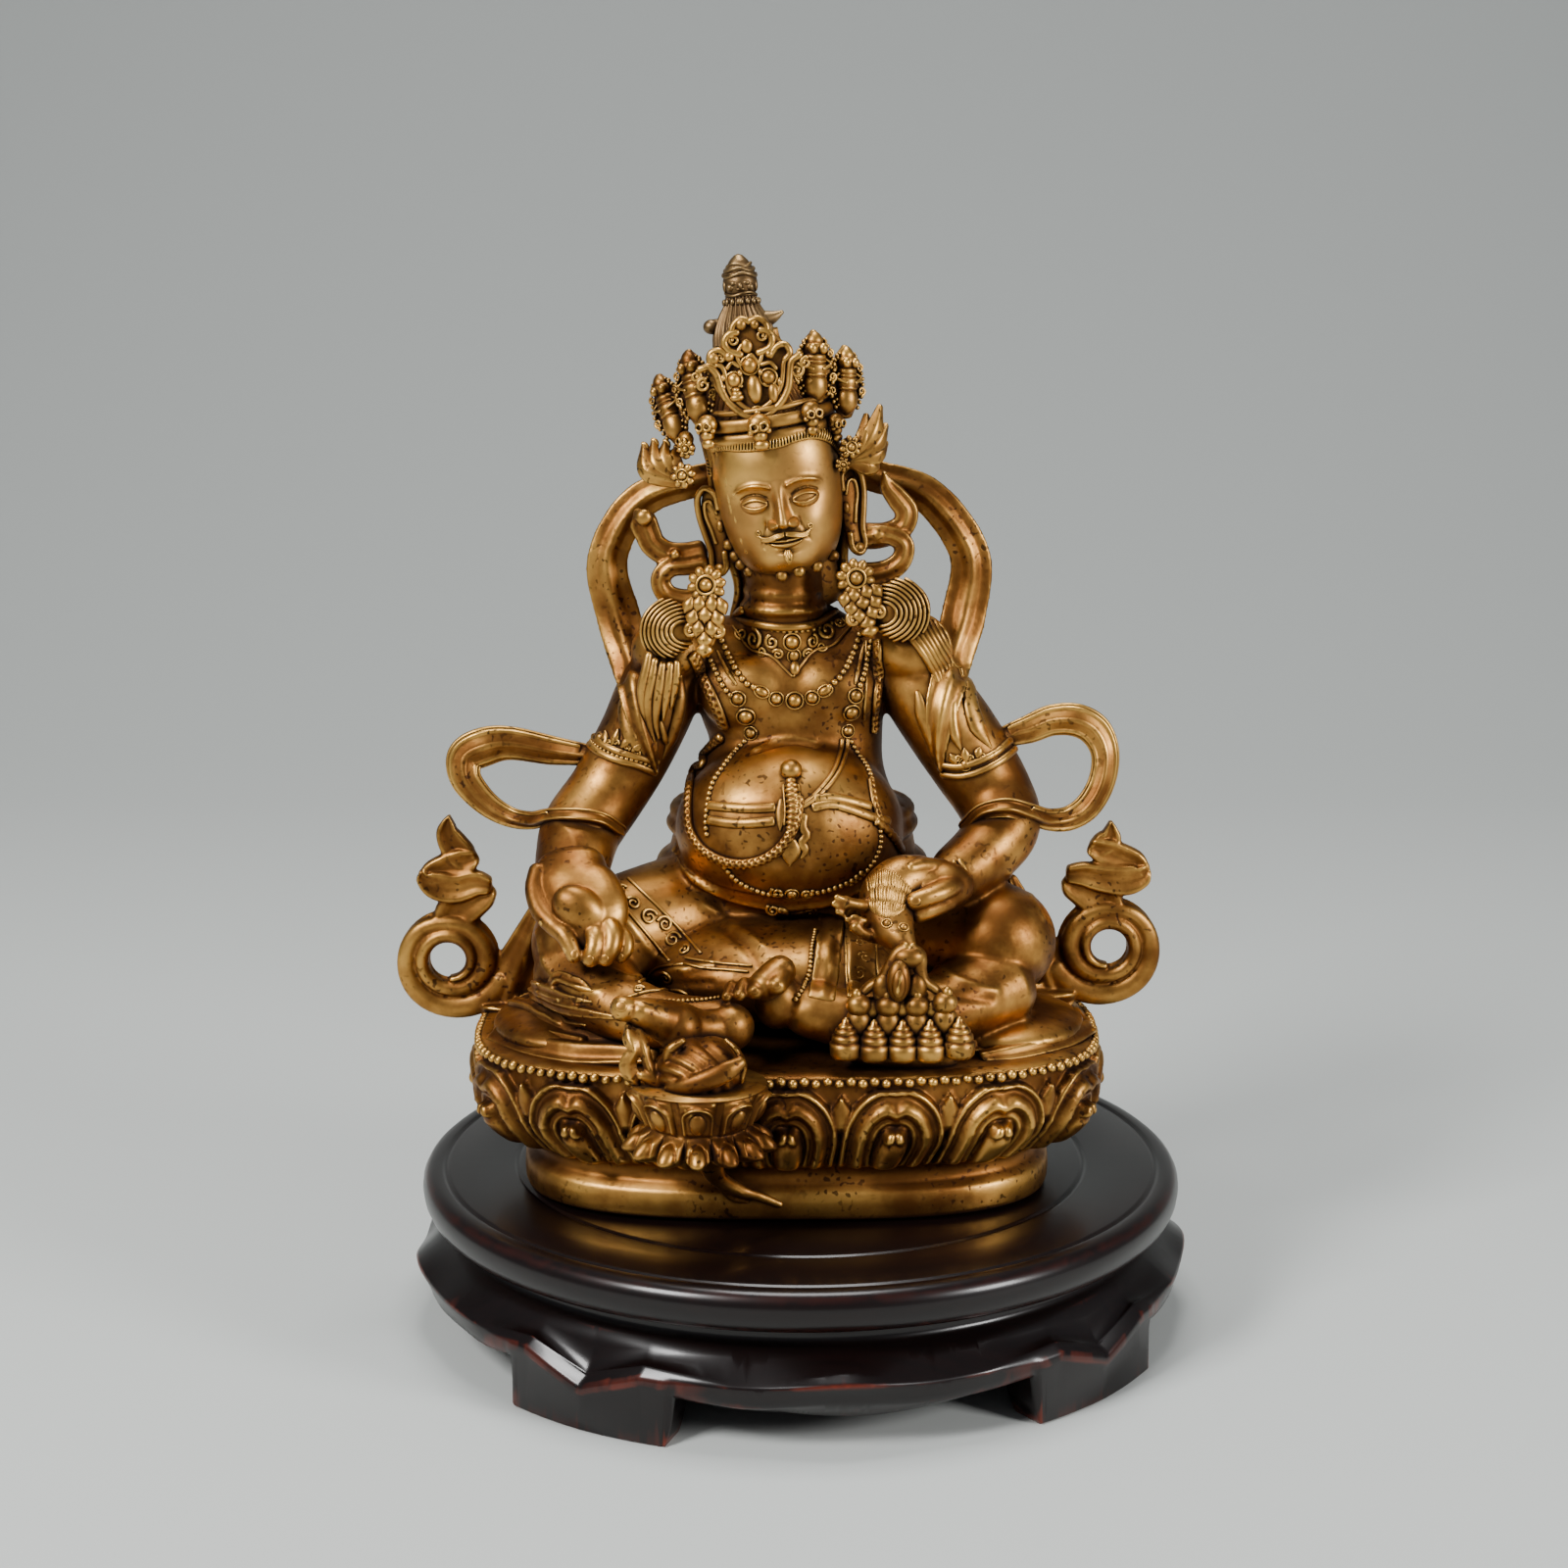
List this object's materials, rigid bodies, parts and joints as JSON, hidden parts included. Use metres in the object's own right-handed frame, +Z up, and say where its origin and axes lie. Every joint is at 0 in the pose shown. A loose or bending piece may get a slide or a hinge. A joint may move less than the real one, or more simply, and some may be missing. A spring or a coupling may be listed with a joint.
{
  "type": "jambhala statue",
  "caption": "Cast bronze seated wealth deity with crown, flowing scarves and mongoose on a lotus base, standing on a round carved wooden stand.",
  "frame": {"origin": "on the surface under the stand's feet, under the middle of the whole object", "axes": "+Z up, -Y the way the figure faces, +X to the right of a viewer who looks at its front"},
  "size_m": [0.1873, 0.185, 0.2459],
  "materials": {
    "bronze": "rubbed gilt bronze with dark recesses",
    "wood": "black-brown gloss lacquer"
  },
  "bodies": {
    "root": {"statue": "bronze", "wooden_stand": "wood"}
  },
  "joints": []
}
